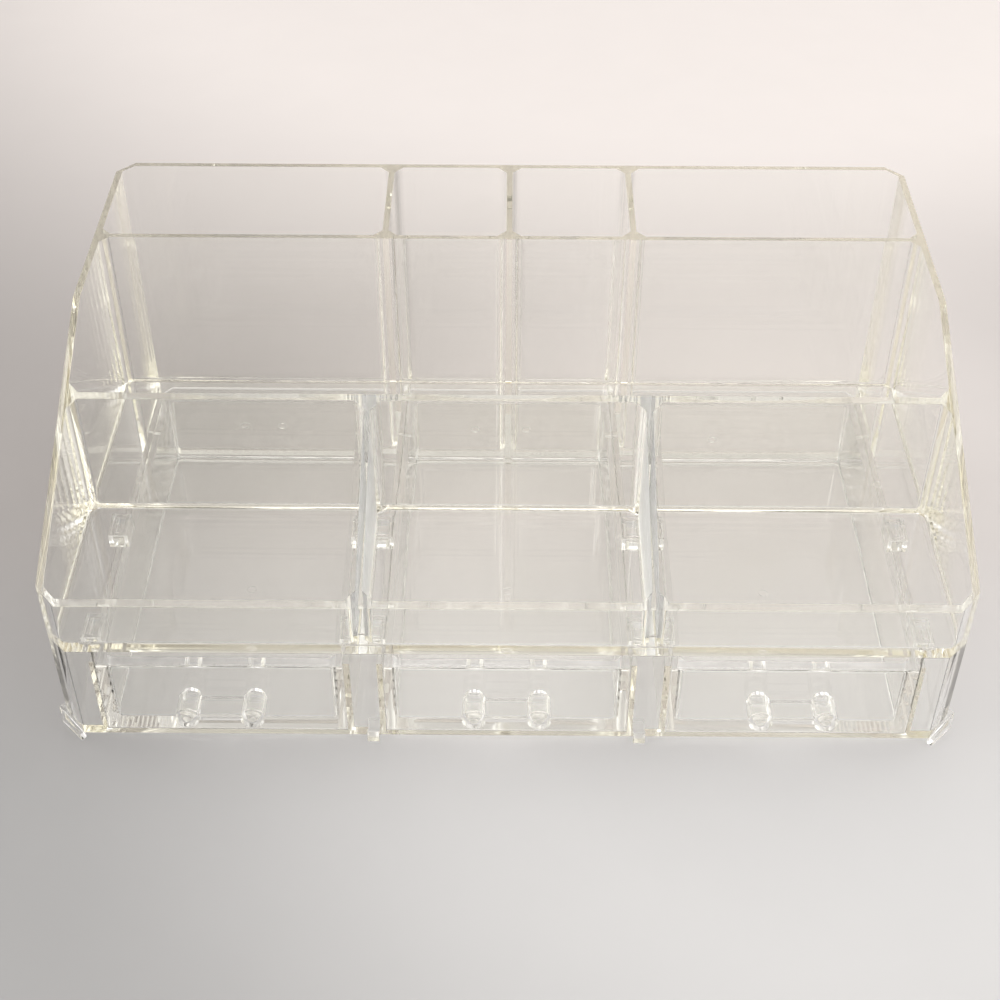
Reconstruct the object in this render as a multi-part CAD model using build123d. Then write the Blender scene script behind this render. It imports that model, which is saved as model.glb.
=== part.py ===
from build123d import *
import os
from math import sqrt

# Clear plastic desk organizer: an open tray half on a drawer case, with three small drawers.
# Everything is drawn with the front face at Y = 0 and the resting plane at Z = 0, in millimetres.
# The frame's own origin is applied at the end, in move_to_frame().

# Whole body
width = 300.0
depth = 193.0
height = 110.0
wall = 2.5
corner_chamfer = 6.5
lip_height = 63.6
slope_run = 104.0

# Tray half
seam_height = 42.7
tray_floor_thickness = 2.5
front_divider_y = 67.5
rear_divider_y = 141.0
rear_floor_height = 6.5
rear_middle_share = 0.15
partition_wall = 2.5
corner_web = 3.2

# Drawer case
foot_height = 2.7
base_thickness = 2.5
post_width = 13.0
outer_post_width = 8.55
guide_wall = 2.0

# Square sleeves under the tray floor and the pegs that fill them
sleeve_height = 6.0
sleeve_wall = 1.5
sleeve_length = 10.8
inner_sleeve_width = 14.7
outer_sleeve_width = 6.8
sleeve_front_y = 12.0
sleeve_rear_y = 60.0
peg_clearance = 0.15
peg_head_gap = 0.3

# Feet of the case
corner_foot_thickness = 1.6
corner_foot_overhang = 2.0
corner_foot_outer_height = 8.5
corner_foot_inner_height = 3.0
post_foot_width = 4.0
post_foot_length = 8.0
post_foot_lip = 0.8

# Drawers
drawer_side_clearance = 0.35
drawer_floor_clearance = 0.3
drawer_top_clearance = 0.5
drawer_back_clearance = 0.8
drawer_floor_thickness = 3.0
drawer_wall = 2.5
drawer_front_thickness = 4.2
drawer_front_bevel = 1.2

# Pulls
pull_length = 10.0
pull_post_diameter = 8.0
pull_post_spacing = 21.5
pull_web_thickness = 2.0
pull_axis_height = 20.5
pull_end_round = 0.8

# Places that follow from the sizes above
half_width = width / 2
inner_half_width = half_width - wall
tray_floor_top = seam_height + tray_floor_thickness
rear_floor_top = rear_floor_height + wall
rear_row_front = rear_divider_y + wall
rear_row_back = depth - wall
middle_row_front = front_divider_y + wall
base_top = foot_height + base_thickness
sleeve_bottom = seam_height - sleeve_height
guide_top = sleeve_bottom - peg_clearance
rear_partition_pitch = rear_middle_share * width
bay_edge = half_width - corner_chamfer - outer_post_width
drawer_pitch = (2 * bay_edge + post_width) / 3
post_centre = drawer_pitch / 2
bay_width = drawer_pitch - post_width
drawer_width = bay_width - 2 * drawer_side_clearance
drawer_bottom = base_top + drawer_floor_clearance
drawer_floor_top = drawer_bottom + drawer_floor_thickness
drawer_top = sleeve_bottom - drawer_top_clearance
drawer_back = rear_divider_y - drawer_back_clearance


def slab(x_range, y_range, z_range):
    """A box between two values on each axis."""
    corner = Pos(x_range[0], y_range[0], z_range[0])
    size = [span[1] - span[0] for span in (x_range, y_range, z_range)]
    return corner * Box(*size, align=(Align.MIN, Align.MIN, Align.MIN))


def upright(points, z_range):
    """A plan outline raised between two heights."""
    outline = Pos(0, 0, z_range[0]) * Polygon(*points, align=None)
    return extrude(outline, z_range[1] - z_range[0], dir=(0, 0, 1))


def across(points, x_range):
    """A side-view outline, as (y, z) points, carried across the width."""
    outline = Plane.YZ.offset(x_range[0]) * Polygon(*points, align=None)
    return extrude(outline, x_range[1] - x_range[0], dir=(1, 0, 0))


def other_side(shape):
    """The mirror image on the other side of the middle plane."""
    return mirror(shape, about=Plane.YZ)


def both_sides(shape):
    """A piece and its mirror image, as two solids."""
    return [shape, other_side(shape)]


def body_profile():
    """The space under the tray's top edge: a rising slope from the lip, then level to the back."""
    side_view = [(0, 0), (0, lip_height), (slope_run, height), (depth, height), (depth, 0)]
    return across(side_view, (-half_width, half_width))


def under_top_edge(shape):
    """What is left of a tray piece below the sloping and level top edge."""
    return shape & body_profile()


# Tray half


def side_panel():
    """Left side: stands on the table behind the case, and on the case in front of that."""
    outline = [
        (corner_chamfer, seam_height),
        (corner_chamfer, height),
        (depth - corner_chamfer, height),
        (depth - corner_chamfer, 0),
        (rear_divider_y, 0),
        (rear_divider_y, seam_height),
    ]
    return under_top_edge(across(outline, (-half_width, -inner_half_width)))


def corner_plan(y_outer, inward):
    """Plan of one upright corner flat on the left; inward is +1 at the front and -1 at the back."""
    flat_start = -half_width + corner_chamfer
    return [
        (flat_start, y_outer),
        (-half_width, y_outer + inward * corner_chamfer),
        (-inner_half_width, y_outer + inward * corner_chamfer),
        (flat_start, y_outer + inward * wall),
    ]


def tray_front_corner():
    return under_top_edge(upright(corner_plan(0, 1), (seam_height, height)))


def tray_back_corner():
    return upright(corner_plan(depth, -1), (0, height))


def front_lip():
    reach = half_width - corner_chamfer
    return under_top_edge(slab((-reach, reach), (0, wall), (seam_height, height)))


def back_panel():
    reach = half_width - corner_chamfer
    return slab((-reach, reach), (rear_row_back, depth), (0, height))


def rear_divider():
    span = (-inner_half_width, inner_half_width)
    return slab(span, (rear_divider_y, rear_row_front), (0, height))


def front_divider():
    span = (-inner_half_width, inner_half_width)
    return under_top_edge(slab(span, (front_divider_y, middle_row_front), (tray_floor_top, height)))


def tray_floor():
    """Floor of the front trays and the middle tray, with flats at its front corners."""
    flat = half_width - corner_chamfer
    plan = [
        (-flat, wall),
        (-inner_half_width, corner_chamfer),
        (-inner_half_width, rear_divider_y),
        (inner_half_width, rear_divider_y),
        (inner_half_width, corner_chamfer),
        (flat, wall),
    ]
    return upright(plan, (seam_height, tray_floor_top))


def rear_floor():
    """Low floor of the deep back row, with flats at its back corners."""
    flat = half_width - corner_chamfer
    plan = [
        (-inner_half_width, rear_row_front),
        (-inner_half_width, depth - corner_chamfer),
        (-flat, rear_row_back),
        (flat, rear_row_back),
        (inner_half_width, depth - corner_chamfer),
        (inner_half_width, rear_row_front),
    ]
    return upright(plan, (rear_floor_height, rear_floor_top))


def rear_partition(x):
    span = (x - partition_wall / 2, x + partition_wall / 2)
    return slab(span, (rear_row_front, rear_row_back), (rear_floor_top, height))


def tray_partition(x):
    span = (x - partition_wall / 2, x + partition_wall / 2)
    return under_top_edge(slab(span, (wall, front_divider_y), (tray_floor_top, height)))


def web(x, y, toward_x, toward_y, bottom):
    """A three-sided upright that fills one inner corner; the signs say which way its legs run."""
    plan = [(x, y), (x + toward_x * corner_web, y), (x, y + toward_y * corner_web)]
    return under_top_edge(upright(plan, (bottom, height)))


def row_webs(edges, front, back, bottom, flats):
    """Webs in the four corners of each compartment of a row.

    edges lists each compartment's left and right face. flats names the row's sides, front or back,
    whose outermost corners are already cut by the body's own corner flats.
    """
    webs = []
    for left, right in edges:
        for y, toward_y, name in ((front, 1, "front"), (back, -1, "back")):
            for x, toward_x in ((left, 1), (right, -1)):
                if name in flats and abs(x) == inner_half_width:
                    continue
                webs.append(web(x, y, toward_x, toward_y, bottom))
    return webs


def compartments(partition_places):
    """Left and right faces of the compartments between partitions."""
    faces = [-inner_half_width]
    for x in partition_places:
        faces += [x - partition_wall / 2, x + partition_wall / 2]
    faces.append(inner_half_width)
    return list(zip(faces[0::2], faces[1::2]))


def sleeve_places():
    """Centre and width of each sleeve on the left half, front row and rear row."""
    outer_x = bay_edge + guide_wall / 2
    rows = (sleeve_front_y, sleeve_rear_y)
    inner = [(-post_centre, y, inner_sleeve_width) for y in rows]
    return inner + [(-outer_x, y, outer_sleeve_width) for y in rows]


def centred_block(x, y, x_size, y_size, z_range):
    return slab((x - x_size / 2, x + x_size / 2), (y - y_size / 2, y + y_size / 2), z_range)


def locating_sleeves():
    """Square sleeves that hang from the tray floor."""
    pieces = []
    for x, y, sleeve_width in sleeve_places():
        outside = centred_block(x, y, sleeve_width, sleeve_length, (sleeve_bottom, seam_height))
        inside = centred_block(x, y, sleeve_width - 2 * sleeve_wall, sleeve_length - 2 * sleeve_wall,
                               (sleeve_bottom, seam_height))
        pieces += both_sides(outside - inside)
    return pieces


# Drawer case


def case_base():
    flat = half_width - corner_chamfer
    plan = [
        (-flat, 0),
        (-half_width, corner_chamfer),
        (-half_width, rear_divider_y),
        (half_width, rear_divider_y),
        (half_width, corner_chamfer),
        (flat, 0),
    ]
    return upright(plan, (foot_height, base_top))


def case_side_wall():
    return slab((-half_width, -inner_half_width), (corner_chamfer, rear_divider_y), (base_top, seam_height))


def case_corner():
    return upright(corner_plan(0, 1), (base_top, seam_height))


def post_fronts():
    """Upright faces between and beside the drawers."""
    outer = slab((-half_width + corner_chamfer, -bay_edge), (0, wall), (base_top, seam_height))
    inner_span = (-post_centre - post_width / 2, -post_centre + post_width / 2)
    inner = slab(inner_span, (0, wall), (base_top, seam_height))
    return both_sides(outer) + both_sides(inner)


def drawer_guides():
    """Walls that run back from the posts and guide the drawers."""
    pieces = []
    for x in (-bay_edge - guide_wall, -post_centre - post_width / 2, -post_centre + post_width / 2 - guide_wall):
        guide = slab((x, x + guide_wall), (wall, rear_divider_y), (base_top, guide_top))
        pieces += both_sides(guide)
    return pieces


def locating_pegs():
    """Blocks on top of the guides that fill the sleeves."""
    pieces = []
    shrink = 2 * (sleeve_wall + peg_clearance)
    for x, y, sleeve_width in sleeve_places():
        peg = centred_block(x, y, sleeve_width - shrink, sleeve_length - shrink,
                            (guide_top, seam_height - peg_head_gap))
        pieces += both_sides(peg)
    return pieces


def corner_foot():
    """A thin wedge on the corner flat, taller at its outer end, which reaches past the side."""
    flat_length = corner_chamfer * sqrt(2)
    run = flat_length + corner_foot_overhang
    reach = run / sqrt(2)
    outer_end = (-half_width + corner_chamfer - reach, reach, 0)
    face = Plane(origin=outer_end, x_dir=(1, -1, 0), z_dir=(-1, -1, 0))
    outline = Polygon(
        (0, 0), (run, 0), (run, corner_foot_inner_height), (0, corner_foot_outer_height), align=None
    )
    return extrude(face * outline, corner_foot_thickness, dir=(-1, -1, 0))


def post_foot():
    """A small angle under the base's front edge, beside a post's centre line."""
    outline = [
        (-post_foot_lip, 0),
        (post_foot_length, 0),
        (post_foot_length, foot_height),
        (0, foot_height),
        (0, base_top),
        (-post_foot_lip, base_top),
    ]
    return across(outline, (-post_centre, -post_centre + post_foot_width))


# Drawers


def drawer_front():
    outline = [
        (0, drawer_bottom),
        (0, drawer_top - drawer_front_bevel),
        (drawer_front_bevel, drawer_top),
        (drawer_front_thickness, drawer_top),
        (drawer_front_thickness, drawer_bottom),
    ]
    return across(outline, (-drawer_width / 2, drawer_width / 2))


def drawer_floor():
    span = (-drawer_width / 2, drawer_width / 2)
    return slab(span, (drawer_front_thickness, drawer_back), (drawer_bottom, drawer_floor_top))


def drawer_left_wall():
    span = (-drawer_width / 2, -drawer_width / 2 + drawer_wall)
    return slab(span, (drawer_front_thickness, drawer_back), (drawer_floor_top, drawer_top))


def drawer_back_wall():
    reach = drawer_width / 2 - drawer_wall
    return slab((-reach, reach), (drawer_back - drawer_wall, drawer_back), (drawer_floor_top, drawer_top))


def pull():
    """Two round posts that stand out of the drawer front, joined by a thin level web."""
    along_front = Plane(origin=(-pull_post_spacing / 2, 0, pull_axis_height), x_dir=(1, 0, 0), z_dir=(0, -1, 0))
    post = extrude(along_front * Circle(pull_post_diameter / 2), pull_length, dir=(0, -1, 0))
    free_end = post.edges().sort_by(Axis.Y)[0]
    post = fillet(free_end, pull_end_round)
    half_web = pull_web_thickness / 2
    web_plate = slab(
        (-pull_post_spacing / 2, pull_post_spacing / 2),
        (pull_end_round - pull_length, 0),
        (pull_axis_height - half_web, pull_axis_height + half_web),
    )
    return post + other_side(post) + web_plate


def drawer_pieces():
    left_wall = drawer_left_wall()
    return {
        "front": drawer_front(),
        "floor": drawer_floor(),
        "left_wall": left_wall,
        "right_wall": other_side(left_wall),
        "back_wall": drawer_back_wall(),
        "pull": pull(),
    }


# Nodes


def tray_nodes():
    rear_places = (-rear_partition_pitch, 0.0, rear_partition_pitch)
    tray_places = (-post_centre, post_centre)
    rear_edges = compartments(rear_places)
    left_side = side_panel()
    return {
        "left_side": left_side,
        "right_side": other_side(left_side),
        "front_corners": both_sides(tray_front_corner()),
        "back_corners": both_sides(tray_back_corner()),
        "front_lip": front_lip(),
        "back_panel": back_panel(),
        "front_divider": front_divider(),
        "rear_divider": rear_divider(),
        "tray_floor": tray_floor(),
        "rear_floor": rear_floor(),
        "rear_partition_left": rear_partition(rear_places[0]),
        "rear_partition_center": rear_partition(rear_places[1]),
        "rear_partition_right": rear_partition(rear_places[2]),
        "tray_partition_left": tray_partition(tray_places[0]),
        "tray_partition_right": tray_partition(tray_places[1]),
        "rear_row_webs": row_webs(rear_edges, rear_row_front, rear_row_back, rear_floor_top, {"back"}),
        "middle_row_webs": row_webs(compartments(()), middle_row_front, rear_divider_y, tray_floor_top, set()),
        "front_row_webs": row_webs(compartments(tray_places), wall, front_divider_y, tray_floor_top, {"front"}),
        "locating_sleeves": locating_sleeves(),
    }


def case_nodes():
    left_wall = case_side_wall()
    return {
        "case_base": case_base(),
        "case_left_wall": left_wall,
        "case_right_wall": other_side(left_wall),
        "case_corners": both_sides(case_corner()),
        "post_fronts": post_fronts(),
        "drawer_guides": drawer_guides(),
        "locating_pegs": locating_pegs(),
        "corner_feet": both_sides(corner_foot()),
        "post_feet": both_sides(post_foot()),
    }


def drawer_nodes():
    nodes = {}
    for index, side in enumerate(("left", "center", "right")):
        place = Pos((index - 1) * drawer_pitch, 0, 0)
        for piece, shape in drawer_pieces().items():
            nodes[f"drawer_{side}_{piece}"] = place * shape
    return nodes


def move_to_frame(shape):
    """Puts the origin at the middle of the resting plane, pulls included."""
    return Pos(0, (pull_length - depth) / 2, 0) * shape


def export_nodes():
    os.makedirs("parts", exist_ok=True)
    for name, shape in {**tray_nodes(), **case_nodes(), **drawer_nodes()}.items():
        if isinstance(shape, list):
            placed = Compound(children=[move_to_frame(solid) for solid in shape])
        else:
            placed = move_to_frame(shape)
        export_step(placed, f"parts/{name}.step")


export_nodes()
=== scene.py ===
"""Clear desk organizer with three small drawers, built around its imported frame.

The tray half, the drawer case and the three drawers are each one clear moulding, so each is made
here as one closed mesh. Sizes are in millimetres with the front face at y = 0, as a moulder's
drawing has them, and every mesh is moved into the frame, in metres, when it is finished.
"""

import logging
import math
from collections import Counter
from dataclasses import dataclass, field
from enum import Enum

import bmesh
import bpy
from mathutils import Matrix, Vector

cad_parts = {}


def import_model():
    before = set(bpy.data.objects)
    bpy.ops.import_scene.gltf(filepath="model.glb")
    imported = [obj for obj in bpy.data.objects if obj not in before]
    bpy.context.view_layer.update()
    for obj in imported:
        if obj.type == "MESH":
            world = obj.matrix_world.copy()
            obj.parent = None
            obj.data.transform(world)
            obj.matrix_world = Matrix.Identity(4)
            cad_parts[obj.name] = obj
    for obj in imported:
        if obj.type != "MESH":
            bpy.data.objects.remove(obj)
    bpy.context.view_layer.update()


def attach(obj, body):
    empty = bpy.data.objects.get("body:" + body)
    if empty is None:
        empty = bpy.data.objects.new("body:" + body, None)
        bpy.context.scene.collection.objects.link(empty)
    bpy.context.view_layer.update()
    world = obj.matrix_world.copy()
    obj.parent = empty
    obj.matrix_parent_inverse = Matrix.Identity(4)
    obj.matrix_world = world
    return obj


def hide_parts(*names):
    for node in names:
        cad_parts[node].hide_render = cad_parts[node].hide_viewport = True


LOG = logging.getLogger("organizer")

MM = 0.001
FRAME_SHIFT_Y = -91.5
WELD_DISTANCE = 1e-4
FLAT_ANGLE = math.radians(0.05)
SMOOTH_ANGLE = math.radians(48)
RIM_ANGLE = math.radians(50)
ROUND_SEGMENTS = 2
QUARTER_STEPS = 5
AREA_WEIGHT = 100
BEYOND = 1.0  # how far a cutting solid reaches past the face that it opens

Point2 = tuple[float, float]
Range = tuple[float, float]
Triple = tuple[float, float, float]
Solids = bmesh.types.BMesh
Piece = bpy.types.Object
Finish = bpy.types.Material
Tree = bpy.types.NodeTree
Socket = bpy.types.NodeSocket
Given = Socket | float | tuple[float, ...]


class Cut(Enum):
    """How one solid changes another."""

    JOIN = "UNION"
    REMOVE = "DIFFERENCE"


class Side(Enum):
    """The three drawers, with the bay each one fills."""

    LEFT = -1
    CENTER = 0
    RIGHT = 1

    @property
    def word(self) -> str:
        """The side as it stands in the names of pieces."""
        return self.name.lower()


# Solids


def new_object(bm: Solids, name: str) -> Piece:
    """Turns a bmesh into a linked object.

    Args:
        bm: The geometry, which is freed.
        name: Name of the object and of its mesh.

    Returns:
        The new object.
    """
    bmesh.ops.recalc_face_normals(bm, faces=bm.faces)
    mesh = bpy.data.meshes.new(name)
    bm.to_mesh(mesh)
    bm.free()
    made = bpy.data.objects.new(name, mesh)
    bpy.context.scene.collection.objects.link(made)
    return made


def stacked_rings(bm: Solids, rings: list[list[Vector]]) -> None:
    """Adds a closed solid that passes through rings of points, with a flat cap at each end.

    Args:
        bm: Receives the solid.
        rings: Rings with the same number of points, from one end to the other.
    """
    loops = [[bm.verts.new(point) for point in ring] for ring in rings]
    for lower, upper in zip(loops, loops[1:]):
        count = len(lower)
        for i in range(count):
            j = (i + 1) % count
            bm.faces.new((lower[i], lower[j], upper[j], upper[i]))
    bm.faces.new(list(reversed(loops[0])))
    bm.faces.new(loops[-1])


def offset_outline(outline: list[Point2], inset: float) -> list[Point2]:
    """Moves every side of a convex, anticlockwise outline inward.

    Args:
        outline: Corners of the outline.
        inset: Distance inward, or outward where it is negative.

    Returns:
        The corners of the moved outline.
    """
    count = len(outline)
    lines = []
    for i in range(count):
        start, end = Vector(outline[i]), Vector(outline[(i + 1) % count])
        along = (end - start).normalized()
        lines.append((start + Vector((-along.y, along.x)) * inset, along))
    moved = []
    for i in range(count):
        (p, u), (q, v) = lines[i - 1], lines[i]
        cross = u.x * v.y - u.y * v.x
        t = ((q.x - p.x) * v.y - (q.y - p.y) * v.x) / cross
        moved.append((p.x + u.x * t, p.y + u.y * t))
    return moved


def add_box(bm: Solids, x: Range, y: Range, z: Range) -> None:
    """Adds a box between two values on each axis."""
    plan = [(x[0], y[0]), (x[1], y[0]), (x[1], y[1]), (x[0], y[1])]
    add_prism(bm, plan, z)


def add_prism(bm: Solids, plan: list[Point2], z: Range) -> None:
    """Adds a plan outline raised between two heights."""
    stacked_rings(bm, [[Vector((px, py, level)) for px, py in plan] for level in z])


def add_side_prism(bm: Solids, side_view: list[Point2], x: Range) -> None:
    """Adds a side-view outline of (y, z) points carried across the width."""
    stacked_rings(bm, [[Vector((level, py, pz)) for py, pz in side_view] for level in x])


@dataclass(frozen=True)
class Pocket:
    """A compartment as the mould's core makes it: flats in the corners, draft, a rounded floor.

    Args:
        x: Left and right face.
        y: Front and back face.
        floor: Height of its floor.
        flats: Leg of the flat in each corner: front left, front right, back right, back left.
        floor_round: Radius where walls meet the floor.
        draft: How much wider each side is at the rim than at the floor.
        rim: Height to which the cutting solid reaches.
    """

    x: Range
    y: Range
    floor: float
    flats: tuple[float, float, float, float]
    floor_round: float = 1.2
    draft: float = 0.12
    rim: float = 125.0

    def plan(self) -> list[Point2]:
        """Draws the pocket from above.

        Returns:
            Its corners at the floor, anticlockwise.
        """
        (x0, x1), (y0, y1) = self.x, self.y
        a, b, c, d = self.flats
        return [
            (x0 + a, y0), (x1 - b, y0), (x1, y0 + b), (x1, y1 - c),
            (x1 - c, y1), (x0 + d, y1), (x0, y1 - d), (x0, y0 + a),
        ]

    def add_to(self, bm: Solids) -> None:
        """Adds the solid that cuts this pocket.

        Args:
            bm: Receives the solid.
        """
        plan = self.plan()
        levels = [(-self.draft, self.rim)]
        for step in range(QUARTER_STEPS + 1):
            turn = math.radians(90) * step / QUARTER_STEPS
            inset = self.floor_round * (1 - math.cos(turn))
            levels.append((inset, self.floor + self.floor_round * (1 - math.sin(turn))))
        rings = [
            [Vector((px, py, z)) for px, py in offset_outline(plan, inset)]
            for inset, z in reversed(levels)
        ]
        stacked_rings(bm, rings)


def carve(body: Piece, tools: Solids, cut: Cut) -> None:
    """Joins solids to a body or removes them from it.

    Args:
        body: The object that changes.
        tools: The solids, which are freed.
        cut: Whether they are joined or removed.
    """
    tool = new_object(tools, "cutting_solids")
    modifier = body.modifiers.new("carve", "BOOLEAN")
    modifier.object = tool
    modifier.operation = cut.value
    modifier.solver = "EXACT"
    graph = bpy.context.evaluated_depsgraph_get()
    result = bpy.data.meshes.new_from_object(body.evaluated_get(graph))
    body.modifiers.clear()
    previous = body.data
    body.data = result
    result.name = body.name
    bpy.data.meshes.remove(previous)
    used = tool.data
    bpy.data.objects.remove(tool)
    bpy.data.meshes.remove(used)


def finish_moulding(body: Piece, edge_round: float, offset_x: float = 0.0) -> None:
    """Rounds the outward edges of a moulding, moves it into the frame and sets its shading.

    Args:
        body: The object, in millimetres.
        edge_round: Radius of the outward edges.
        offset_x: Where its middle stands across the width, in millimetres.
    """
    bm = bmesh.new()
    bm.from_mesh(body.data)
    bmesh.ops.remove_doubles(bm, verts=bm.verts, dist=WELD_DISTANCE)
    bmesh.ops.dissolve_limit(
        bm, angle_limit=FLAT_ANGLE, verts=bm.verts, edges=bm.edges, delimit=set()
    )
    inner_edges = [e for e in bm.edges if len(e.link_faces) == 2]
    rims = [e for e in inner_edges if e.calc_face_angle_signed(0) > RIM_ANGLE]
    bmesh.ops.bevel(
        bm, geom=rims, offset=edge_round, offset_type="OFFSET", segments=ROUND_SEGMENTS,
        profile=0.5, affect="EDGES", clamp_overlap=True, miter_outer="SHARP", miter_inner="SHARP",
    )
    bmesh.ops.dissolve_degenerate(bm, dist=WELD_DISTANCE, edges=bm.edges)
    placed = Matrix.Diagonal((MM, MM, MM, 1)) @ Matrix.Translation((offset_x, FRAME_SHIFT_Y, 0))
    bm.transform(placed)
    for edge in bm.edges:
        edge.smooth = len(edge.link_faces) == 2 and edge.calc_face_angle(0) < SMOOTH_ANGLE
    for face in bm.faces:
        face.smooth = True
    bm.to_mesh(body.data)
    bm.free()
    weighted = body.modifiers.new("even_normals", "WEIGHTED_NORMAL")
    weighted.keep_sharp = True
    weighted.weight = AREA_WEIGHT


def report(body: Piece) -> None:
    """Logs one finished piece: its faces, its open edges and its size.

    Args:
        body: The piece, in the frame.
    """
    mesh = body.data
    uses = Counter(key for polygon in mesh.polygons for key in polygon.edge_keys)
    open_edges = sum(1 for count in uses.values() if count != 2)
    spans = []
    for axis in range(3):
        places = [vertex.co[axis] / MM for vertex in mesh.vertices]
        spans.append(f"{max(places) - min(places):.1f}")
    size = " x ".join(spans)
    LOG.info("%s: %d faces, %d open edges, %s mm", body.name, len(mesh.polygons), open_edges, size)


# Finishes


def group_socket(tree: Tree, name: str, kind: str, value: Given | None = None) -> None:
    """Adds one named socket to a node group.

    Args:
        tree: The group.
        name: Name of the socket.
        kind: Float or Color.
        value: Value of an input where nothing is linked, or None for an output.
    """
    way = "OUTPUT" if value is None else "INPUT"
    made = tree.interface.new_socket(name=name, in_out=way, socket_type=f"NodeSocket{kind}")
    if value is not None:
        made.default_value = value


def fill(tree: Tree, socket: Socket, given: Given) -> None:
    """Links an input where a socket is given, and otherwise sets its value.

    Args:
        tree: The node tree.
        socket: The input.
        given: What it gets.
    """
    if isinstance(given, Socket):
        tree.links.new(given, socket)
    else:
        socket.default_value = given


def noise(tree: Tree, place: Socket, scale: Given, detail: float, breakup: float = 0.5) -> Socket:
    """Adds a noise texture.

    Args:
        tree: The node tree.
        place: Where the texture is read.
        scale: Its fineness.
        detail: How many finer octaves it has.
        breakup: How strongly the finer octaves count.

    Returns:
        The noise, about 0 to 1.
    """
    node = tree.nodes.new("ShaderNodeTexNoise")
    node.inputs["Detail"].default_value = detail
    node.inputs["Roughness"].default_value = breakup
    fill(tree, node.inputs["Scale"], scale)
    fill(tree, node.inputs["Vector"], place)
    return node.outputs["Fac"]


def spread(
    tree: Tree, value: Socket, span: Range, easing: str = "LINEAR",
    to: tuple[Given, Given] = (0.0, 1.0),
) -> Socket:
    """Adds a node that maps a span of a value to another range.

    Args:
        tree: The node tree.
        value: What is mapped.
        span: Its low and high end.
        easing: LINEAR or SMOOTHSTEP.
        to: What the two ends become.

    Returns:
        The mapped value.
    """
    node = tree.nodes.new("ShaderNodeMapRange")
    node.interpolation_type = easing
    node.inputs["From Min"].default_value, node.inputs["From Max"].default_value = span
    for name, given in (("Value", value), ("To Min", to[0]), ("To Max", to[1])):
        fill(tree, node.inputs[name], given)
    return node.outputs["Result"]


def blended(tree: Tree, mode: str, share: Given, first: Given, second: Given) -> Socket:
    """Adds a node that mixes or multiplies two colours.

    Args:
        tree: The node tree.
        mode: MIX or MULTIPLY.
        share: How much of the second colour counts.
        first: The first colour.
        second: The second colour.

    Returns:
        The blended colour.
    """
    node = tree.nodes.new("ShaderNodeMix")
    node.data_type = "RGBA"
    node.blend_type = mode
    for name, given in (("Factor", share), ("A", first), ("B", second)):
        fill(tree, node.inputs[name], given)
    return node.outputs["Result"]


def reckoned(tree: Tree, operation: str, *values: Given) -> Socket:
    """Adds a sum, product or other reckoning.

    Args:
        tree: The node tree.
        operation: Its name among the math operations.
        values: Numbers or sockets, in the operation's own order.

    Returns:
        The result.
    """
    node = tree.nodes.new("ShaderNodeMath")
    node.operation = operation
    for socket, given in zip(node.inputs, values):
        fill(tree, socket, given)
    return node.outputs["Value"]


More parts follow.
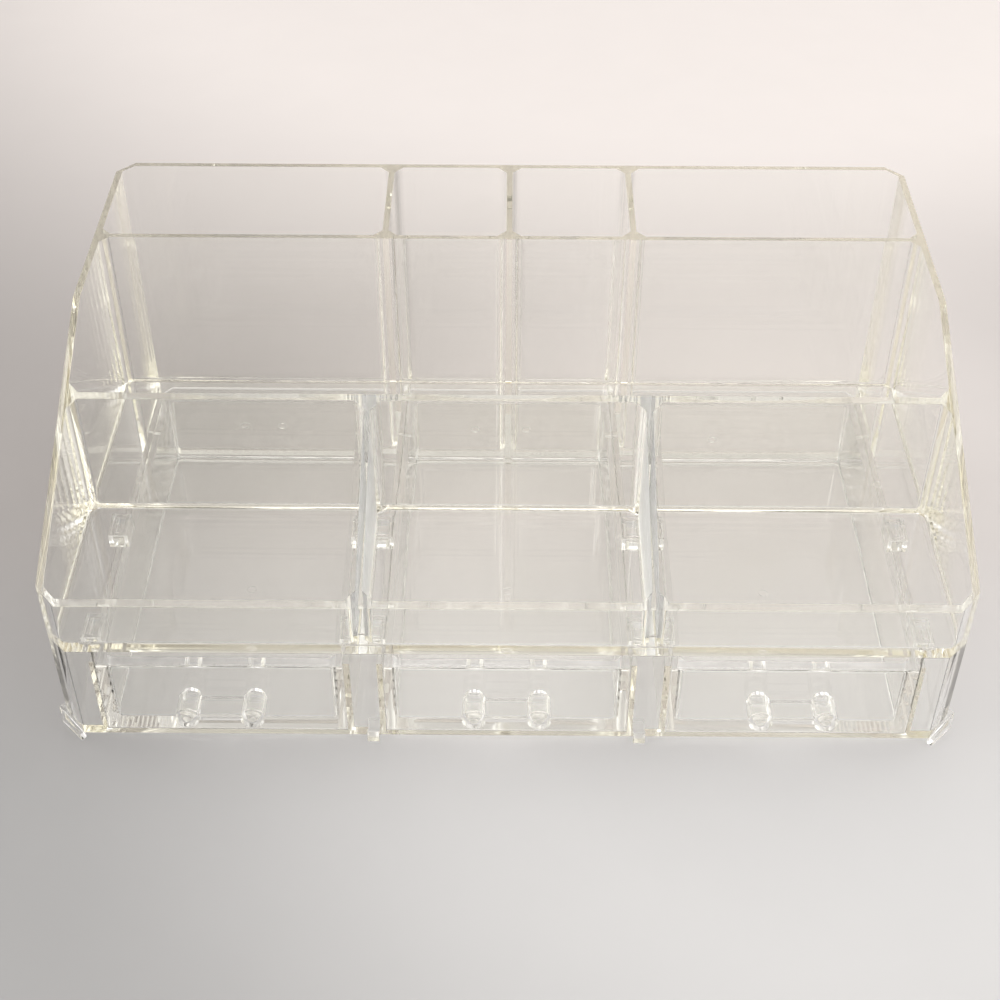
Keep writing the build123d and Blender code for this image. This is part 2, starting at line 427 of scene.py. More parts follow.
@dataclass
class HandlingMarks:
    """A node group shared by the clear plastics: flow waves, fine scratches, smudges and scuffs.

    A detail is a count of finer octaves, and a breakup says how strongly they show. Scales are per
    metre, and a span holds the noise levels at which a mark starts and is full.

    Args:
        scuff_roughness: How dull the deepest scuff is.
        scuff_height: How high it stands beside the moulding's waves.
        scratch_turn: How the scratches are turned, in radians.
        scratch_stretch: Their fineness along each axis.
    """

    smudge_span: Range = (0.52, 0.78)
    smudge_detail: float = 6.0
    smudge_breakup: float = 0.62
    scuff_scale: Triple = (900.0, 420.0, 260.0)
    scuff_detail: float = 3.0
    scuff_breakup: float = 0.65
    scuff_roughness: float = 1.5
    scuff_height: float = 6.0
    wave_scale: float = 9.0
    wave_detail: float = 1.0
    scratch_turn: Triple = (0.3, 0.2, 0.9)
    scratch_stretch: Triple = (300.0, 9.0, 60.0)
    scratch_scale: float = 5.0
    scratch_detail: float = 3.0
    scratch_span: Range = (0.66, 0.72)
    tree: Tree = field(init=False)

    NAME = "handling_marks"
    SCUFFED = "scuffed"

    def __post_init__(self) -> None:
        """Builds the group once."""
        self.tree = bpy.data.node_groups.new(self.NAME, "ShaderNodeTree")
        tree = self.tree
        amounts = {
            "Clean Roughness": 0.0, "Smudged Roughness": 0.1, "Smudge Scale": 20.0,
            "Scratch Depth": 0.2, "Scuffed": 0.0,
        }
        for name, value in amounts.items():
            group_socket(tree, name, "Float", value)
        group_socket(tree, "Clear Color", "Color", (1, 1, 1, 1))
        group_socket(tree, "Milky Color", "Color", (0.98, 0.98, 0.96, 1))
        for name, kind in (("Roughness", "Float"), ("Height", "Float"), ("Color", "Color")):
            group_socket(tree, name, kind)
        given = tree.nodes.new("NodeGroupInput").outputs
        out = tree.nodes.new("NodeGroupOutput").inputs
        place = tree.nodes.new("ShaderNodeTexCoord").outputs["Object"]

        smudges = noise(tree, place, given["Smudge Scale"], self.smudge_detail, self.smudge_breakup)
        patches = spread(tree, smudges, self.smudge_span)
        levels = (given["Clean Roughness"], given["Smudged Roughness"])
        dull = spread(tree, patches, (0.0, 1.0), to=levels)
        streaks = self.stretched(place, self.scuff_scale)
        frost = noise(tree, streaks, 1.0, self.scuff_detail, self.scuff_breakup)
        scuffs = reckoned(tree, "MULTIPLY", frost, given["Scuffed"])
        rough = reckoned(tree, "MULTIPLY_ADD", scuffs, self.scuff_roughness, dull)
        tint = blended(tree, "MIX", patches, given["Clear Color"], given["Milky Color"])

        waves = noise(tree, place, self.wave_scale, self.wave_detail)
        strokes = self.stretched(place, self.scratch_stretch, self.scratch_turn)
        cuts = noise(tree, strokes, self.scratch_scale, self.scratch_detail)
        lines = spread(tree, cuts, self.scratch_span)
        depth = reckoned(tree, "MULTIPLY", lines, given["Scratch Depth"])
        marked = reckoned(tree, "SUBTRACT", waves, depth)
        height = reckoned(tree, "MULTIPLY_ADD", scuffs, self.scuff_height, marked)
        tree.links.new(rough, out["Roughness"])
        tree.links.new(tint, out["Color"])
        tree.links.new(height, out["Height"])

    def stretched(self, place: Socket, scale: Triple, turn: Triple = (0.0, 0.0, 0.0)) -> Socket:
        """Adds a node that turns and stretches the place where a texture is read.

        Args:
            place: The plain place.
            scale: How much finer the texture becomes along each axis.
            turn: Its turn about each axis, in radians.

        Returns:
            The changed place.
        """
        node = self.tree.nodes.new("ShaderNodeMapping")
        node.inputs["Rotation"].default_value = turn
        node.inputs["Scale"].default_value = scale
        self.tree.links.new(place, node.inputs["Vector"])
        return node.outputs["Vector"]


@dataclass(frozen=True)
class ClearPlastic:
    """A polished clear moulding plastic.

    Args:
        name: Name of the material.
        clear_color: What each surface lets through.
        milky_color: The same where the surface is smudged.
        depth_color: Colour that thick plastic turns.
        depth_density: How fast it turns, per metre.
        ior: Index of refraction.
        clean_roughness: Roughness of untouched plastic.
        smudged_roughness: Roughness of smudged patches.
        smudge_scale: Size of the patches, as a noise scale per metre.
        scratch_depth: Depth of fine scratches beside the moulding's own waves.
        wave_height: Height of the waves, in metres.
        lamp_share: Share of lamp light that passes each surface.
    """

    name: str
    clear_color: Triple = (1.0, 1.0, 0.992)
    milky_color: Triple = (0.985, 0.985, 0.972)
    depth_color: Triple = (0.985, 0.965, 0.88)
    depth_density: float = 2.0
    ior: float = 1.5
    clean_roughness: float = 0.0
    smudged_roughness: float = 0.09
    smudge_scale: float = 17.0
    scratch_depth: float = 0.03
    wave_height: float = 0.00001
    lamp_share: float = 0.995

    def build(self, marks: HandlingMarks) -> Finish:
        """Makes the material.

        Args:
            marks: The shared group of flow waves, scratches and smudges.

        Returns:
            The finished material.
        """
        material = bpy.data.materials.new(self.name)
        material.use_nodes = True
        tree = material.node_tree
        tree.nodes.clear()
        add, link = tree.nodes.new, tree.links.new
        out = add("ShaderNodeOutputMaterial")
        glass = add("ShaderNodeBsdfPrincipled")
        glass.inputs["Transmission Weight"].default_value = 1.0
        glass.inputs["IOR"].default_value = self.ior
        worn = add("ShaderNodeGroup")
        worn.node_tree = marks.tree
        wear = {
            "Clean Roughness": self.clean_roughness,
            "Smudged Roughness": self.smudged_roughness,
            "Smudge Scale": self.smudge_scale,
            "Scratch Depth": self.scratch_depth,
            "Clear Color": (*self.clear_color, 1),
            "Milky Color": (*self.milky_color, 1),
        }
        for name, value in wear.items():
            worn.inputs[name].default_value = value
        scuffs = add("ShaderNodeAttribute")
        scuffs.attribute_name = HandlingMarks.SCUFFED
        link(scuffs.outputs["Fac"], worn.inputs["Scuffed"])
        link(worn.outputs["Roughness"], glass.inputs["Roughness"])
        link(worn.outputs["Color"], glass.inputs["Base Color"])
        bump = add("ShaderNodeBump")
        bump.inputs["Strength"].default_value = 1.0
        bump.inputs["Distance"].default_value = self.wave_height
        link(worn.outputs["Height"], bump.inputs["Height"])
        link(bump.outputs["Normal"], glass.inputs["Normal"])

        path = add("ShaderNodeLightPath")
        passing = add("ShaderNodeBsdfTransparent")
        passing.inputs["Color"].default_value = (self.lamp_share,) * 3 + (1,)
        mix = add("ShaderNodeMixShader")
        link(path.outputs["Is Shadow Ray"], mix.inputs["Fac"])
        link(glass.outputs["BSDF"], mix.inputs[1])
        link(passing.outputs["BSDF"], mix.inputs[2])
        link(mix.outputs["Shader"], out.inputs["Surface"])

        inside = add("ShaderNodeVolumeAbsorption")
        inside.inputs["Color"].default_value = (*self.depth_color, 1)
        inside.inputs["Density"].default_value = self.depth_density
        link(inside.outputs["Volume"], out.inputs["Volume"])
        return material


# Sub-assemblies


@dataclass
class TrayHalf:
    """The open upper moulding: rear row, middle tray and three front trays."""

    half_width: float = 150.0
    depth: float = 193.0
    height: float = 110.0
    wall: float = 2.5
    corner_chamfer: float = 6.5
    lip_height: float = 63.6
    slope_run: float = 104.0
    seam_height: float = 42.7
    floor_top: float = 45.2
    front_divider_y: float = 67.5
    rear_divider_y: float = 141.0
    rear_floor_bottom: float = 6.5
    rear_floor_top: float = 9.0
    rear_pitch: float = 45.0
    front_pitch: float = 47.15
    web_leg: float = 3.2
    outer_flat_leg: float = 4.0
    sleeve_bottom: float = 36.7
    sleeve_wall: float = 1.5
    sleeve_length: float = 10.8
    sleeve_bite: float = 0.6
    sleeve_centres_y: Range = (12.0, 60.0)
    inner_sleeve: Range = (47.15, 14.7)
    outer_sleeve: Range = (135.95, 6.8)
    ring_places: tuple[Point2, ...] = (
        (-85.5, 26.8), (0.0, 26.8), (85.5, 26.8), (0.0, 95.6), (-133.0, 83.0), (133.0, 83.0),
        (-98.0, 114.5), (-84.0, 114.5), (-12.5, 113.0), (7.0, 113.0), (75.0, 108.0),
    )
    ring_radius: float = 1.5
    ring_width: float = 0.9
    ring_depth: float = 0.3
    rear_draft: float = 0.2
    edge_round: float = 0.15

    NODES = (
        "left_side", "right_side", "front_corners", "back_corners", "front_lip", "back_panel",
        "front_divider", "rear_divider", "tray_floor", "rear_floor", "rear_partition_left",
        "rear_partition_center", "rear_partition_right", "tray_partition_left",
        "tray_partition_right", "rear_row_webs", "middle_row_webs", "front_row_webs",
        "locating_sleeves",
    )

    def faces_between(self, centres: tuple[float, ...]) -> list[Range]:
        """Finds the left and right faces of the compartments between partitions.

        Args:
            centres: Where the partitions stand across the width.

        Returns:
            One pair of faces for each compartment.
        """
        edge = self.half_width - self.wall
        marks = [-edge]
        for x in centres:
            marks += [x - self.wall / 2, x + self.wall / 2]
        marks.append(edge)
        return list(zip(marks[0::2], marks[1::2]))

    def pockets(self) -> list[Pocket]:
        """Lists every compartment of the tray.

        Returns:
            The pockets, from the back row to the front one.
        """
        web, outer = self.web_leg, self.outer_flat_leg
        made = []
        rear = self.faces_between((-self.rear_pitch, 0.0, self.rear_pitch))
        rear_y = (self.rear_divider_y + self.wall, self.depth - self.wall)
        for i, faces in enumerate(rear):
            flats = (web, web, outer if i == len(rear) - 1 else web, outer if i == 0 else web)
            made.append(Pocket(faces, rear_y, self.rear_floor_top, flats, draft=self.rear_draft))
        middle_y = (self.front_divider_y + self.wall, self.rear_divider_y)
        for faces in self.faces_between(()):
            made.append(Pocket(faces, middle_y, self.floor_top, (web,) * 4))
        front = self.faces_between((-self.front_pitch, self.front_pitch))
        front_y = (self.wall, self.front_divider_y)
        for i, faces in enumerate(front):
            flats = (outer if i == 0 else web, outer if i == len(front) - 1 else web, web, web)
            made.append(Pocket(faces, front_y, self.floor_top, flats))
        return made

    def blank(self) -> Piece:
        """Makes the outside of the tray.

        Returns:
            The object, before anything is cut from it.
        """
        bm = bmesh.new()
        seam, step = self.seam_height, self.rear_divider_y
        side_view = [
            (0, seam), (step, seam), (step, 0), (self.depth, 0), (self.depth, self.height),
            (self.slope_run, self.height), (0, self.lip_height),
        ]
        add_side_prism(bm, side_view, (-self.half_width, self.half_width))
        return new_object(bm, "tray_moulding")

    def corner_wedges(self) -> Solids:
        """Makes what the four upright corners lose to their flats.

        Returns:
            One wedge for each corner.
        """
        bm = bmesh.new()
        over = BEYOND
        x, c = self.half_width, self.corner_chamfer
        for sign in (-1, 1):
            for y, inward in ((0.0, 1), (self.depth, -1)):
                plan = [
                    (sign * (x + over), y + inward * (c + over)),
                    (sign * (x - c - over), y - inward * over),
                    (sign * (x + over), y - inward * over),
                ]
                if sign * inward > 0:
                    plan.reverse()
                add_prism(bm, plan, (-over, self.height + over))
        return bm

    def sleeves(self, inset: float, z: Range) -> Solids:
        """Makes the eight sleeves under the floor, or the holes in them.

        Args:
            inset: How far inside the sleeve's outside the blocks stay.
            z: Their lowest and highest level.

        Returns:
            One block for each sleeve.
        """
        bm = bmesh.new()
        for centre, width in (self.inner_sleeve, self.outer_sleeve):
            for x in (-centre, centre):
                for y in self.sleeve_centres_y:
                    half_x = width / 2 - inset
                    half_y = self.sleeve_length / 2 - inset
                    add_box(bm, (x - half_x, x + half_x), (y - half_y, y + half_y), z)
        return bm

    def ejector_rings(self) -> Solids:
        """Makes the small ring grooves that ejector pins and gates leave in the tray floor.

        Returns:
            One ring for each groove.
        """
        bm = bmesh.new()
        facets = 20
        over = 0.05
        profile = (
            (-self.ring_width / 2, over), (0.0, -self.ring_depth), (self.ring_width / 2, over),
        )
        for x, y in self.ring_places:
            circles = []
            for aside, rise in profile:
                radius = self.ring_radius + aside
                circle = []
                for i in range(facets):
                    turn = 2 * math.pi * i / facets
                    place = (x + radius * math.cos(turn), y + radius * math.sin(turn))
                    circle.append(bm.verts.new((*place, self.floor_top + rise)))
                circles.append(circle)
            for near, far in zip(circles, circles[1:] + circles[:1]):
                for i in range(facets):
                    j = (i + 1) % facets
                    bm.faces.new((near[i], near[j], far[j], far[i]))
        return bm

    def under_floor(self) -> Solids:
        """Makes the hollow under the rear row's floor.

        Returns:
            The solid that cuts it.
        """
        bm = bmesh.new()
        x = self.half_width - self.wall
        y0, y1 = self.rear_divider_y + self.wall, self.depth - self.wall
        leg = self.outer_flat_leg
        plan = [(-x, y0), (x, y0), (x, y1 - leg), (x - leg, y1), (-x + leg, y1), (-x, y1 - leg)]
        add_prism(bm, plan, (-BEYOND, self.rear_floor_bottom))
        return bm

    def build(self) -> Piece:
        """Makes the moulding.

        Returns:
            The finished object, in the frame.
        """
        body = self.blank()
        carve(body, self.corner_wedges(), Cut.REMOVE)
        cores = bmesh.new()
        for pocket in self.pockets():
            pocket.add_to(cores)
        carve(body, cores, Cut.REMOVE)
        carve(body, self.under_floor(), Cut.REMOVE)
        blocks = (self.sleeve_bottom, self.seam_height + self.sleeve_bite)
        carve(body, self.sleeves(0.0, blocks), Cut.JOIN)
        holes = (self.sleeve_bottom - BEYOND, self.seam_height)
        carve(body, self.sleeves(self.sleeve_wall, holes), Cut.REMOVE)
        carve(body, self.ejector_rings(), Cut.REMOVE)
        finish_moulding(body, self.edge_round)
        self.scuff(body)
        return body

    def scuff(self, body: Piece) -> None:
        """Marks the sides of the front partitions, where the core's rough polish shows.

        Args:
            body: The finished moulding, in the frame.
        """
        marks = body.data.attributes.new(HandlingMarks.SCUFFED, "FLOAT", "FACE")
        nearly_square = 0.9
        for polygon, mark in zip(body.data.polygons, marks.data):
            x, y = polygon.center.x / MM, polygon.center.y / MM - FRAME_SHIFT_Y
            near = abs(abs(x) - self.front_pitch) < self.wall
            sideways = abs(polygon.normal.x) > nearly_square
            mark.value = float(near and sideways and y < self.front_divider_y)

    def dress(self, body: Piece, plastic: Finish) -> None:
        """Gives the moulding its finish and its place in the frame.

        Args:
            body: The finished moulding.
            plastic: Its material.
        """
        body.data.materials.append(plastic)
        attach(body, "organizer")
        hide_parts(*self.NODES)


@dataclass
class DrawerCase:
    """The lower moulding: base, sides, posts, drawer guides, pegs and feet."""

    half_width: float = 150.0
    back: float = 140.9
    corner_chamfer: float = 6.5
    corner_leg: float = 4.0
    wall: float = 2.5
    foot_height: float = 2.7
    base_top: float = 5.2
    top: float = 42.6
    guide_top: float = 36.55
    guide_wall: float = 2.0
    pitch: float = 94.3
    bay_half: float = 40.65
    post_half: float = 6.5
    peg_top: float = 42.4
    peg_length: float = 7.5
    peg_centres_y: Range = (12.0, 60.0)
    inner_peg: Range = (47.15, 11.4)
    outer_peg: Range = (135.95, 3.5)
    foot_thickness: float = 1.6
    foot_overhang: float = 2.0
    foot_outer: float = 8.5
    foot_inner: float = 3.0
    post_foot_width: float = 4.0
    post_foot_length: float = 8.0
    post_foot_lip: float = 0.8
    bite: float = 0.4
    edge_round: float = 0.15

    NODES = (
        "case_base", "case_left_wall", "case_right_wall", "case_corners", "post_fronts",
        "drawer_guides", "locating_pegs", "corner_feet", "post_feet",
    )

    def outline(self, x: float, front: float, leg: float, back: float) -> list[Point2]:
        """Draws a plan with flats at its two front corners.

        Args:
            x: Half its width.
            front: Where its front stands.
            leg: Leg of the flats.
            back: Where its back stands.

        Returns:
            Its corners, anticlockwise.
        """
        side = front + leg
        return [(-x + leg, front), (x - leg, front), (x, side), (x, back), (-x, back), (-x, side)]

    def hollows(self) -> Solids:
        """Makes the drawer bays and the cells behind the posts.

        Returns:
            The solids that cut them.
        """
        bm = bmesh.new()
        z = (self.base_top, self.top + BEYOND)
        beyond = self.back + BEYOND
        for side in Side:
            x = side.value * self.pitch
            add_box(bm, (x - self.bay_half, x + self.bay_half), (-BEYOND, beyond), z)
        post = self.pitch / 2
        cell = self.post_half - self.guide_wall
        inner = self.half_width - self.wall
        guide = self.pitch + self.bay_half + self.guide_wall
        leg = self.corner_leg
        for sign in (-1, 1):
            add_box(bm, (sign * post - cell, sign * post + cell), (self.wall, beyond), z)
            plan = [
                (sign * guide, self.wall), (sign * (inner - leg), self.wall),
                (sign * inner, self.wall + leg), (sign * inner, beyond), (sign * guide, beyond),
            ]
            if sign < 0:
                plan.reverse()
            add_prism(bm, plan, z)
        return bm

    def feet(self) -> Solids:
        """Makes the wedge on each corner flat and the small angle under each post.

        Returns:
            The four feet.
        """
        bm = bmesh.new()
        run = self.corner_chamfer * math.sqrt(2) + self.foot_overhang
        reach = run / math.sqrt(2)
        sunk = self.bite
        foot_top = self.foot_height + sunk
        for sign in (-1, 1):
            outer = Vector((sign * (self.half_width - self.corner_chamfer + reach), reach, 0))
            along = Vector((-sign, -1, 0)).normalized()
            outward = Vector((sign, -1, 0)).normalized()
            face = [(0, 0), (run, 0), (run, self.foot_inner), (0, self.foot_outer)]
            rings = []
            for level in (-sunk, self.foot_thickness):
                away = outward * level
                rings.append([outer + along * s + away + Vector((0, 0, h)) for s, h in face])
            stacked_rings(bm, rings)
            x0 = sign * self.pitch / 2
            lip, length = -self.post_foot_lip, self.post_foot_length
            side_view = [
                (lip, 0), (length, 0), (length, foot_top), (sunk, foot_top),
                (sunk, self.base_top), (lip, self.base_top),
            ]
            near, far = sorted((x0, x0 - sign * self.post_foot_width))
            add_side_prism(bm, side_view, (near, far))
        return bm

    def pegs(self) -> Solids:
        """Makes the blocks that fill the tray's sleeves.

        Returns:
            One block for each sleeve.
        """
        bm = bmesh.new()
        z = (self.guide_top - self.bite, self.peg_top)
        for centre, width in (self.inner_peg, self.outer_peg):
            for x in (-centre, centre):
                for y in self.peg_centres_y:
                    faces_y = (y - self.peg_length / 2, y + self.peg_length / 2)
                    add_box(bm, (x - width / 2, x + width / 2), faces_y, z)
        return bm

    def build(self) -> Piece:
        """Makes the moulding.

        Returns:
            The finished object, in the frame.
        """
        bm = bmesh.new()
        plan = self.outline(self.half_width, 0.0, self.corner_chamfer, self.back)
        add_prism(bm, plan, (self.foot_height, self.top))
        body = new_object(bm, "case_moulding")
        carve(body, self.hollows(), Cut.REMOVE)
        lower = bmesh.new()
        inner = self.half_width - self.wall
        plan = self.outline(inner, self.wall, self.corner_leg, self.back + BEYOND)
        add_prism(lower, plan, (self.guide_top, self.top + BEYOND))
        carve(body, lower, Cut.REMOVE)
        carve(body, self.pegs(), Cut.JOIN)
        carve(body, self.feet(), Cut.JOIN)
        finish_moulding(body, self.edge_round)
        return body

    def dress(self, body: Piece, plastic: Finish) -> None:
        """Gives the moulding its finish and its place in the frame.

        Args:
            body: The finished moulding.
            plastic: Its material.
        """
        body.data.materials.append(plastic)
        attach(body, "organizer")
        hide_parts(*self.NODES)


@dataclass
class Drawer:
    """One drawer with its pull of two round posts and a thin web."""

    side: Side
    pitch: float = 94.3
    half_width: float = 40.3
    back: float = 140.2
    bottom: float = 5.5
    top: float = 36.2
    floor_top: float = 8.5
    wall: float = 2.5
    front_thickness: float = 4.2
    front_bevel: float = 1.2
    corner_flat: float = 2.0
    pull_length: float = 10.0
    post_radius: float = 4.0
    post_spacing: float = 21.5
    web_thickness: float = 2.0
    pull_height: float = 20.5
    pull_round: float = 1.4
    pull_root: float = 1.0
    core_root_radius: float = 3.1
    core_tip_radius: float = 2.5
    core_round: float = 1.2
    core_end_wall: float = 1.8
    inside_rim: float = 60.0
    edge_round: float = 0.15

    PIECES = ("front", "floor", "left_wall", "right_wall", "back_wall", "pull")

    @property
    def nodes(self) -> list[str]:
        """The frame's nodes that this drawer stands for."""
        return [f"drawer_{self.side.word}_{piece}" for piece in self.PIECES]

    def turned(self, levels: list[Point2]) -> Solids:
        """Makes two solids of revolution along y, one on the middle line of each post.

        Args:
            levels: Distance along y and radius, from one end to the other.

        Returns:
            The two solids.
        """
        bm = bmesh.new()
        facets = 48
        turns = [2 * math.pi * i / facets for i in range(facets)]
        for sign in (-1, 1):
            x0 = sign * self.post_spacing / 2
            rings = []
            for y, radius in levels:
                ring = []
                for turn in turns:
                    rise = radius * math.sin(turn)
                    ring.append(Vector((x0 + radius * math.cos(turn), y, self.pull_height + rise)))
                rings.append(ring)
            stacked_rings(bm, rings)
        return bm

    @staticmethod
    def rounded_tip(y: float, radius: float, rounding: float) -> list[Point2]:
        """Lists the levels of a tip that points towards -y and is rounded at its rim.

        Args:
            y: Where the tip ends.
            radius: Radius before the rounding.
            rounding: Radius of the rim.

        Returns:
            The levels, for turned.
        """
        levels = []
        for step in range(QUARTER_STEPS + 1):
            turn = math.radians(90) * step / QUARTER_STEPS
            back = y + rounding * (1 - math.sin(turn))
            levels.append((back, radius - rounding * (1 - math.cos(turn))))
        return levels

    def pull(self) -> Solids:
        """Makes the two posts, which reach into the front."""
        tip = self.rounded_tip(-self.pull_length, self.post_radius, self.pull_round)
        return self.turned([(self.pull_root, self.post_radius), *tip])

    def cores(self) -> Solids:
        """Makes the hollows that the mould's pins leave in the posts.

        Returns:
            The two solids that cut them, open inside the drawer.
        """
        end = self.core_end_wall - self.pull_length
        tip = self.rounded_tip(end, self.core_tip_radius, self.core_round)
        return self.turned([(self.front_thickness + BEYOND, self.core_root_radius), *tip])

    def web(self) -> Solids:
        """Makes the thin level plate between the posts.

        Returns:
            The plate, which reaches into the front.
        """
        bm = bmesh.new()
        half = self.post_spacing / 2
        middle = self.web_thickness / 2
        z = (self.pull_height - middle, self.pull_height + middle)
        add_box(bm, (-half, half), (self.pull_round - self.pull_length, self.pull_root), z)
        return bm

    def build(self) -> Piece:
        """Makes the drawer.

        Returns:
            The finished object, in the frame.
        """
        bm = bmesh.new()
        side_view = [
            (0, self.bottom), (self.back, self.bottom), (self.back, self.top),
            (self.front_bevel, self.top), (0, self.top - self.front_bevel),
        ]
        add_side_prism(bm, side_view, (-self.half_width, self.half_width))
        body = new_object(bm, f"drawer_{self.side.word}_moulding")
        inner = self.half_width - self.wall
        faces_y = (self.front_thickness, self.back - self.wall)
        flats = (self.corner_flat,) * 4
        inside = bmesh.new()
        pocket = Pocket((-inner, inner), faces_y, self.floor_top, flats, rim=self.inside_rim)
        pocket.add_to(inside)
        carve(body, inside, Cut.REMOVE)
        carve(body, self.web(), Cut.JOIN)
        carve(body, self.pull(), Cut.JOIN)
        carve(body, self.cores(), Cut.REMOVE)
        finish_moulding(body, self.edge_round, self.side.value * self.pitch)
        return body

    def dress(self, body: Piece, plastic: Finish) -> None:
        """Gives the drawer its finish and lets it slide with its body.

        Args:
            body: The finished drawer.
            plastic: Its material.
        """
        body.data.materials.append(plastic)
        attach(body, f"drawer_{self.side.word}")
        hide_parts(*self.nodes)


# Studio


@dataclass(frozen=True)
class PaintedLightPool:
    """A soft pool of light painted into the board's colour, not cast by a lamp.

    Args:
        centre: Its middle on the floor, in metres.
        reach: Distances from the middle at which it starts and ends to fade.
        tone: The board's tone inside it, painted lighter where light would fall.
    """

    centre: Point2
    reach: Range
    tone: float


@dataclass(frozen=True)
class Softbox:
    """One square lamp that faces the organizer.

    Args:
        name: Name of the lamp.
        place: Where it hangs, in metres.
        size: Length of its sides.
        power: Its power in watts.
        color: Its colour.
        counted_once: Whether its light on the floor needs the guard of count_once.
    """

    name: str
    place: Triple
    size: float
    power: float
    color: Triple
    counted_once: bool


@dataclass
class Studio:
    """A pale floor with painted pools of light and painted shade, soft light and the camera at the
    photograph's angle.
    """

    camera_place: Triple = (-0.0003, -0.46019, 0.43902)
    pitch_deg: float = 41.75
    yaw_deg: float = -0.32
    roll_deg: float = 0.16
    lens_mm: float = 59.9
    sensor_mm: float = 36.0
    clip: Range = (0.01, 20.0)
    softboxes: tuple[Softbox, ...] = (
        Softbox("right_softbox", (1.2, 0.4, 0.6), 1.2, 5.0, (1.0, 0.995, 0.985), True),
        Softbox("left_softbox", (-1.3, 0.0, 0.45), 0.9, 2.4, (1.0, 0.995, 0.985), True),
        Softbox("top_softbox", (0.25, -0.1, 1.5), 1.7, 13.0, (1.0, 0.985, 0.975), False),
    )
    lamp_aim: Triple = (0.0, 0.0, 0.05)
    floor_level: float = -0.0002
    floor_size: float = 4.0
    # The board's base tone is darker than the pools and is painted shade, at the left and in the
    # band behind the organizer.
    painted_shade_tone: float = 0.45
    near_painted_light: PaintedLightPool = PaintedLightPool((0.12, -0.04), (0.13, 0.30), 0.76)
    far_painted_light: PaintedLightPool = PaintedLightPool((0.10, 0.68), (0.35, 0.66), 0.94)
    front_hue: Triple = (1.0, 0.99, 0.985)
    back_hue: Triple = (1.0, 0.94, 0.91)
    hue_turn: Range = (-0.13, 0.04)
    mottling: Range = (0.92, 0.95)
    grain_scale: float = 35.0
    grain_detail: float = 4.0
    board_roughness: float = 0.6
    room_back_foot: Triple = (0.28, 0.265, 0.255)
    room_back_wall: Triple = (0.76, 0.735, 0.715)
    room_front_foot: Triple = (1.05, 1.03, 1.0)
    room_front_top: Triple = (0.10, 0.095, 0.09)
    room_left: Triple = (0.92, 0.90, 0.88)
    room_right: Triple = (0.98, 0.97, 0.955)
    wall_rise: Range = (0.0, 0.5)
    front_rise: Range = (0.25, 0.6)
    turn_behind: Range = (-0.35, 0.35)
    turn_right: Range = (-0.8, 0.8)
    turn_aside: Range = (0.35, 0.8)
    clear_bounces: int = 72
    matt_bounces: int = 3
    straight_crossings: int = 64

    def camera(self) -> None:
        """Places the camera and makes it the scene's own."""
        pitch, yaw, roll = (math.radians(v) for v in (self.pitch_deg, self.yaw_deg, self.roll_deg))
        level = math.cos(pitch)
        ahead = Vector((math.sin(yaw) * level, math.cos(yaw) * level, -math.sin(pitch)))
        across = Vector((math.cos(yaw), -math.sin(yaw), 0))
        above = across.cross(ahead)
        right = across * math.cos(roll) + above * math.sin(roll)
        top = above * math.cos(roll) - across * math.sin(roll)
        turned = Matrix((right, top, -ahead)).transposed()
        data = bpy.data.cameras.new("view")
        data.sensor_fit = "HORIZONTAL"
        data.sensor_width = self.sensor_mm
        data.lens = self.lens_mm
        data.clip_start, data.clip_end = self.clip
        made = bpy.data.objects.new("view", data)
        made.matrix_world = Matrix.Translation(self.camera_place) @ turned.to_4x4()
        bpy.context.scene.collection.objects.link(made)
        bpy.context.scene.camera = made

    def floor(self) -> None:
        """Lays the floor."""
        bm = bmesh.new()
        half = self.floor_size / 2
        corners = [(-half, -half), (half, -half), (half, half), (-half, half)]
        bm.faces.new([bm.verts.new((x, y, self.floor_level)) for x, y in corners])
        made = new_object(bm, "floor")
        made.data.materials.append(self.floor_finish())

    def floor_finish(self) -> Finish:
        """Makes the pale matt board with two soft pools of painted light, painted shade where they
        fade, and a little mottling.

        Returns:
            The finished material.
        """
        material = bpy.data.materials.new("pale_board_painted_light")
        material.use_nodes = True
        tree = material.node_tree
        shader = tree.nodes["Principled BSDF"]
        shader.inputs["Roughness"].default_value = self.board_roughness
        add, link = tree.nodes.new, tree.links.new
        place = add("ShaderNodeTexCoord").outputs["Object"]
        split = add("ShaderNodeSeparateXYZ")
        link(place, split.inputs["Vector"])
        tone = (self.painted_shade_tone,) * 3 + (1,)
        # Each pool paints light into the board's colour; where both fade, the darker base tone
        # stays as painted shade.
        for pool in (self.near_painted_light, self.far_painted_light):
            away = add("ShaderNodeVectorMath")
            away.operation = "DISTANCE"
            away.inputs[1].default_value = (*pool.centre, self.floor_level)
            link(place, away.inputs[0])
            inside = spread(tree, away.outputs["Value"], pool.reach, "SMOOTHSTEP", (1.0, 0.0))
            tone = blended(tree, "MIX", inside, tone, (pool.tone,) * 3 + (1,))

        turn = spread(tree, split.outputs["Y"], self.hue_turn, "SMOOTHSTEP")
        hue = blended(tree, "MIX", turn, (*self.front_hue, 1), (*self.back_hue, 1))
        grain = noise(tree, place, self.grain_scale, self.grain_detail)
        mottle = spread(tree, grain, (0.0, 1.0), to=self.mottling)
        tinted = blended(tree, "MULTIPLY", 1.0, tone, hue)
        link(blended(tree, "MULTIPLY", 1.0, tinted, mottle), shader.inputs["Base Color"])
        return material

    def lamp(self, box: Softbox) -> None:
        """Hangs one softbox.

        Args:
            box: Its place, size and light.
        """
        data = bpy.data.lights.new(box.name, "AREA")
        data.shape = "SQUARE"
        data.size = box.size
        data.energy = box.power
        data.color = box.color
        made = bpy.data.objects.new(box.name, data)
        made.location = box.place
        aim = Vector(self.lamp_aim) - Vector(box.place)
        made.rotation_euler = aim.to_track_quat("-Z", "Y").to_euler()
        bpy.context.scene.collection.objects.link(made)
        if box.counted_once:
            self.count_once(data)

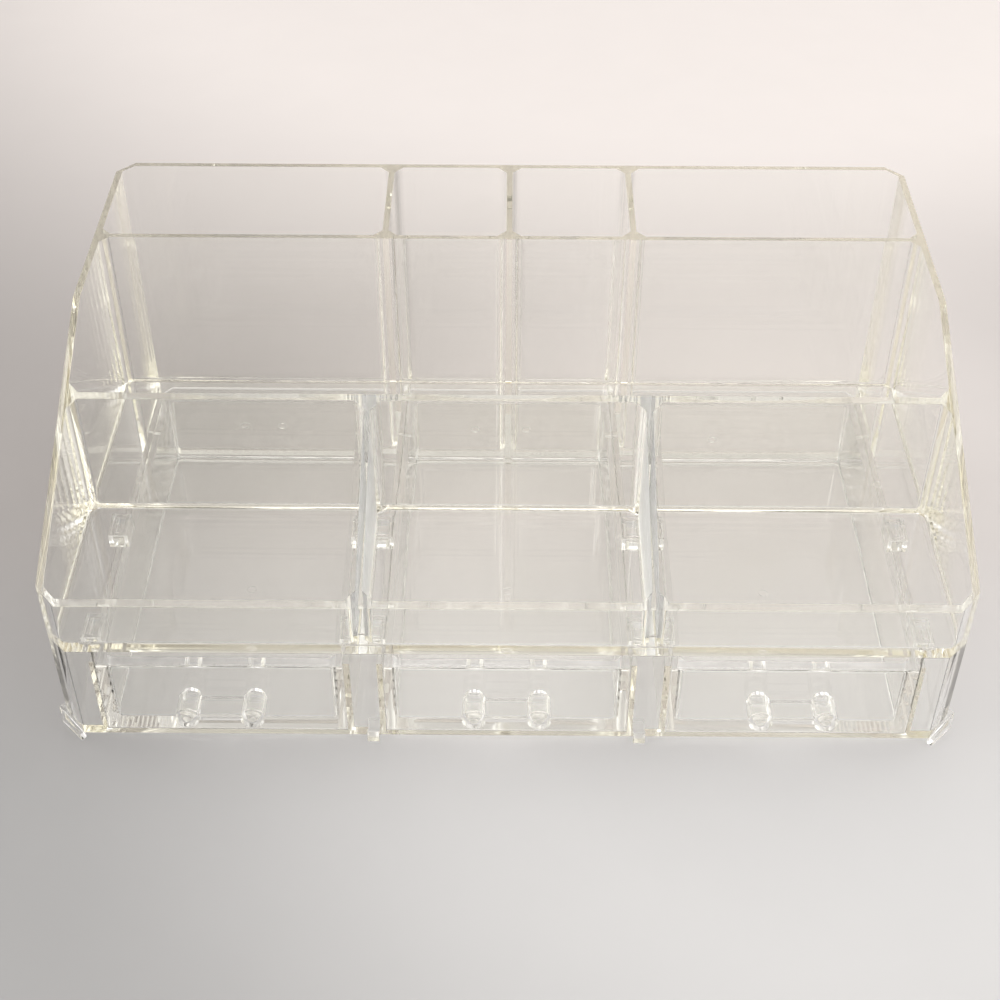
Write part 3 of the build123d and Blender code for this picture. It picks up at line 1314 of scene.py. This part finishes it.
    def count_once(self, data: bpy.types.Light) -> None:
        """Keeps a lamp's light on the floor from being counted twice through clear walls.

        The floor gets it straight through the walls, so light that they bend isn't added again.

        Args:
            data: The lamp.
        """
        data.use_nodes = True
        tree = data.node_tree
        path = tree.nodes.new("ShaderNodeLightPath")
        straight = tree.nodes.new("ShaderNodeMath")
        straight.operation = "SUBTRACT"
        straight.use_clamp = True
        straight.inputs[0].default_value = 1.0
        tree.links.new(path.outputs["Diffuse Depth"], straight.inputs[1])
        tree.links.new(straight.outputs["Value"], tree.nodes["Emission"].inputs["Strength"])

    def sky(self) -> None:
        """Surrounds the set with a pale room: light sides, a softer back, a dim front above."""
        world = bpy.data.worlds.new("studio_sky")
        bpy.context.scene.world = world
        world.use_nodes = True
        world.cycles.sampling_method = "NONE"
        tree = world.node_tree
        add, link = tree.nodes.new, tree.links.new
        split = add("ShaderNodeSeparateXYZ")
        link(add("ShaderNodeTexCoord").outputs["Generated"], split.inputs["Vector"])
        x, y, z = (split.outputs[axis] for axis in "XYZ")

        above_wall = spread(tree, z, self.wall_rise, "SMOOTHSTEP")
        above_front = spread(tree, z, self.front_rise, "SMOOTHSTEP")
        rightward = spread(tree, x, self.turn_right)
        back, front, sides = (
            blended(tree, "MIX", share, (*low, 1), (*high, 1))
            for share, low, high in (
                (above_wall, self.room_back_foot, self.room_back_wall),
                (above_front, self.room_front_foot, self.room_front_top),
                (rightward, self.room_left, self.room_right),
            )
        )
        behind = spread(tree, y, self.turn_behind, "SMOOTHSTEP")
        aside = spread(tree, reckoned(tree, "ABSOLUTE", x), self.turn_aside, "SMOOTHSTEP")
        facing = blended(tree, "MIX", behind, front, back)
        link(blended(tree, "MIX", aside, facing, sides), tree.nodes["Background"].inputs["Color"])

    def settings(self) -> None:
        """Lets light cross every clear wall, and keeps colours plain."""
        bpy.context.scene.view_settings.view_transform = "Standard"
        cycles = bpy.context.scene.cycles
        cycles.max_bounces = self.clear_bounces
        cycles.transmission_bounces = self.clear_bounces
        cycles.glossy_bounces = self.clear_bounces
        cycles.diffuse_bounces = self.matt_bounces
        cycles.transparent_max_bounces = self.straight_crossings

    def build(self) -> None:
        """Sets up the camera, the floor, the lamps and the room round them."""
        self.camera()
        self.floor()
        for box in self.softboxes:
            self.lamp(box)
        self.sky()
        self.settings()


def main() -> None:
    """Builds the organizer and its studio."""
    logging.basicConfig(level=logging.INFO, format="%(name)s: %(message)s")
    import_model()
    marks = HandlingMarks()
    tray_plastic = ClearPlastic(
        "clear_tray_plastic", depth_color=(0.98, 0.935, 0.70), depth_density=4.5
    ).build(marks)
    case_plastic = ClearPlastic(
        "clear_case_plastic", depth_color=(0.982, 0.945, 0.78), depth_density=3.5
    ).build(marks)
    drawer_plastic = ClearPlastic("clear_drawer_plastic").build(marks)

    drawers = [(Drawer(side), drawer_plastic) for side in Side]
    for maker, plastic in [(TrayHalf(), tray_plastic), (DrawerCase(), case_plastic), *drawers]:
        body = maker.build()
        maker.dress(body, plastic)
        report(body)
    Studio().build()
    LOG.info("studio: floor, softboxes, room and camera are set")


if __name__ == "__main__":
    main()
